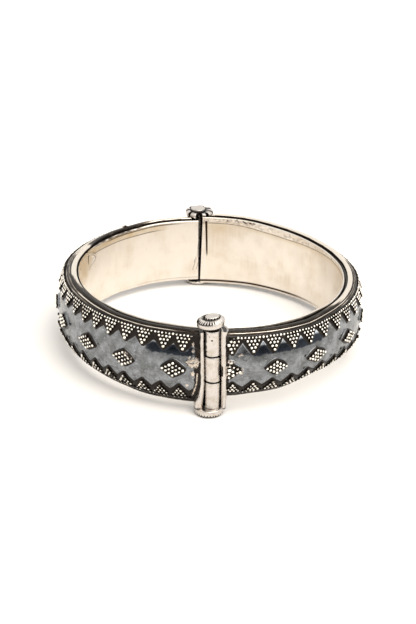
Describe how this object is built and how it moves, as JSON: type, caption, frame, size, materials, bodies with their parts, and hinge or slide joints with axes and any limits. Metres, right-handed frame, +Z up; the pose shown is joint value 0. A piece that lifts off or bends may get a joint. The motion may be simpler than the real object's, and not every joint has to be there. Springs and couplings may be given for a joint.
{
  "type": "hinged bangle",
  "caption": "Hinged silver bangle: a hollow domed band with raised granulated borders and diamonds, opened by drawing the clasp pin.",
  "frame": {"origin": "centre of the bounding box at the underside of the clasp's bottom cap, on the ring's axis", "axes": "+Z up along the ring's axis, -Y towards the clasp, +X towards the right half"},
  "size_m": [0.0698, 0.0732, 0.0228],
  "materials": {
    "oxidised_silver": "silver with a blackened satin surface, bright where rubbed",
    "polished_silver": "worn, softly polished silver"
  },
  "bodies": {
    "left": {"left_half": "oxidised_silver", "hinge_pin": "polished_silver"},
    "right": {"right_half": "oxidised_silver"},
    "draw_pin": {"clasp_pin": "polished_silver"}
  },
  "joints": [
    {"name": "hinge", "type": "hinge", "parent": "left", "child": "right", "pos_m": [-0.00251, 0.03341, 0.0106], "axis": [0, 0, 1], "range_deg": [0, 75]},
    {"name": "clasp_draw", "type": "slide", "parent": "left", "child": "draw_pin", "axis": [0, 0, 1], "range_m": [0, 0.022]}
  ]
}
